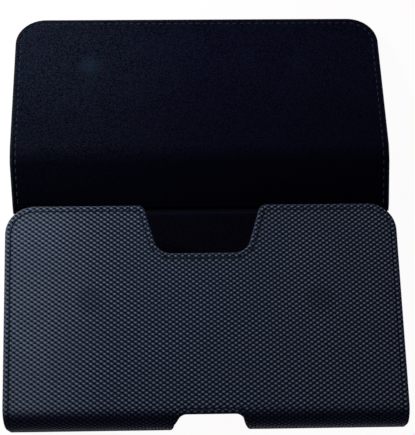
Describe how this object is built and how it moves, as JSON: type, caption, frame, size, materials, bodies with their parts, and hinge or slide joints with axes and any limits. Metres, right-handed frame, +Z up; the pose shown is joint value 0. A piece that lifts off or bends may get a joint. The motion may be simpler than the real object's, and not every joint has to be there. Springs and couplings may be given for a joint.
{
  "type": "phone belt holster",
  "caption": "Landscape phone pouch for a belt: stiff textured panels round a gusseted pocket, with thumb cut-out, bottom notch, belt loops, belt clip and a lined flap shut by magnets.",
  "frame": {"origin": "on the surface that the case lies on, under the middle of the opened case", "axes": "+X across the case to its right, +Y from the bottom fold towards the flap, +Z up out of the front panel"},
  "size_m": [0.161, 0.1858, 0.0285],
  "materials": {
    "cover": "polyurethane leather embossed with staggered dots, semi-matt",
    "lining": "short velour nap, near-black blue",
    "board": "stiff sheet, matt",
    "gusset": "thin smooth polyurethane leather",
    "magnet": "nickel-plated",
    "strap": "folded and stitched strap",
    "patch": "smooth polyurethane leather",
    "clip": "black satin spring steel",
    "rivet": "dark nickel"
  },
  "bodies": {
    "pouch": {"pouch_cover": "cover", "front_board": "board", "back_board": "board", "pouch_lining": "lining", "gusset_left": "gusset", "gusset_right": "gusset", "front_magnet_left": "magnet", "front_magnet_right": "magnet", "belt_loop_left": "strap", "belt_loop_right": "strap", "clip_patch": "patch", "belt_clip": "clip", "clip_rivets": "rivet"},
    "top_strip": {"strip_cover": "cover", "strip_board": "board", "strip_lining": "lining"},
    "flap": {"flap_cover": "cover", "flap_board": "board", "flap_lining": "lining", "flap_magnet_left": "magnet", "flap_magnet_right": "magnet"}
  },
  "joints": [
    {"name": "back_crease", "type": "hinge", "parent": "pouch", "child": "top_strip", "pos_m": [0, 0.0011, 0.007], "axis": [1, 0, 0], "range_deg": [-54.5, 55.5]},
    {"name": "flap_crease", "type": "hinge", "parent": "top_strip", "child": "flap", "pos_m": [0, 0.02355, 0.01723], "axis": [1, 0, 0], "range_deg": [-36.8, 138.34]}
  ]
}
